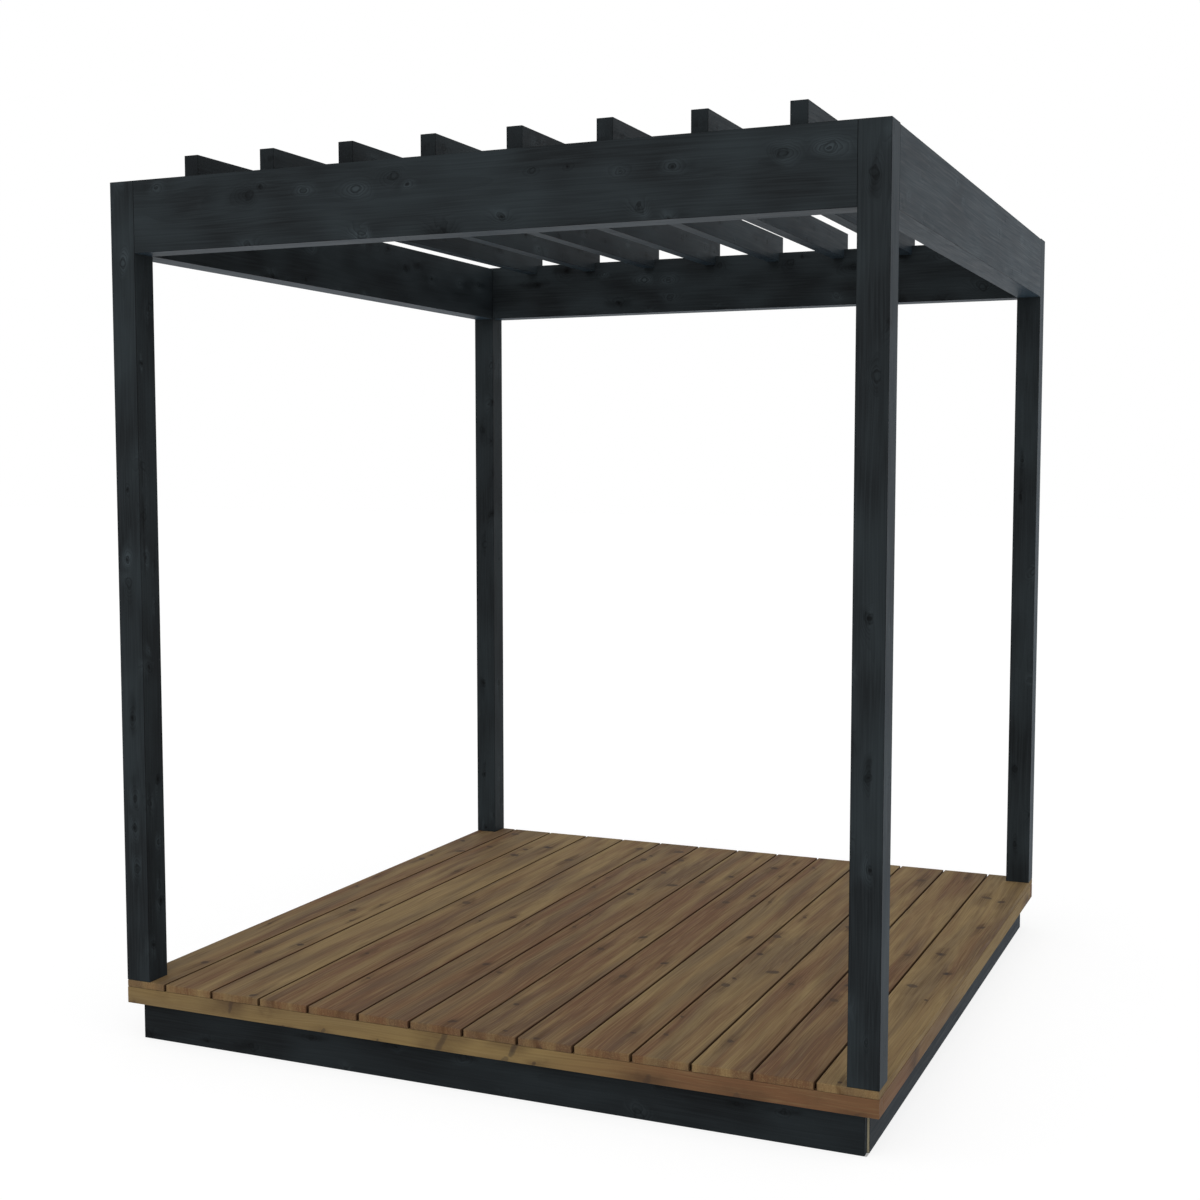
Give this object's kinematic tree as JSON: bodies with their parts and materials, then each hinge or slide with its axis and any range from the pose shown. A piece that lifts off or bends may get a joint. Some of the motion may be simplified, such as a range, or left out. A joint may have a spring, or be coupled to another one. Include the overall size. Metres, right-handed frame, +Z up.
{
  "type": "wooden pergola with raised deck",
  "caption": "Free-standing square timber pergola: corner posts, deep flush beams and notched open rafters, standing on a boarded deck with a recessed plinth.",
  "frame": {"origin": "on the ground, at the middle of the footprint", "axes": "+X to the right along the front, +Y towards the back along the deck boards and rafters, +Z up"},
  "size_m": [2.5, 2.56, 2.833],
  "materials": {
    "stained_timber": "dark blue-grey stain on planed softwood",
    "deck_timber": "brown oiled softwood decking",
    "rim_timber": "brown oiled softwood, planed",
    "joist_timber": "untreated sawn softwood"
  },
  "bodies": {
    "root": {"front_plinth": "stained_timber", "back_plinth": "stained_timber", "left_plinth": "stained_timber", "right_plinth": "stained_timber", "middle_bearer": "joist_timber", "front_rim": "rim_timber", "back_rim": "rim_timber", "left_rim": "rim_timber", "right_rim": "rim_timber", "joist_01": "joist_timber", "joist_02": "joist_timber", "joist_03": "joist_timber", "joist_04": "joist_timber", "deck_board_01": "deck_timber", "deck_board_02": "deck_timber", "deck_board_03": "deck_timber", "deck_board_04": "deck_timber", "deck_board_05": "deck_timber", "deck_board_06": "deck_timber", "deck_board_07": "deck_timber", "deck_board_08": "deck_timber", "deck_board_09": "deck_timber", "deck_board_10": "deck_timber", "deck_board_11": "deck_timber", "deck_board_12": "deck_timber", "deck_board_13": "deck_timber", "deck_board_14": "deck_timber", "front_left_post": "stained_timber", "front_right_post": "stained_timber", "back_left_post": "stained_timber", "back_right_post": "stained_timber", "front_beam": "stained_timber", "back_beam": "stained_timber", "left_beam": "stained_timber", "right_beam": "stained_timber", "rafter_01": "stained_timber", "rafter_02": "stained_timber", "rafter_03": "stained_timber", "rafter_04": "stained_timber", "rafter_05": "stained_timber", "rafter_06": "stained_timber", "rafter_07": "stained_timber", "rafter_08": "stained_timber"}
  },
  "joints": []
}
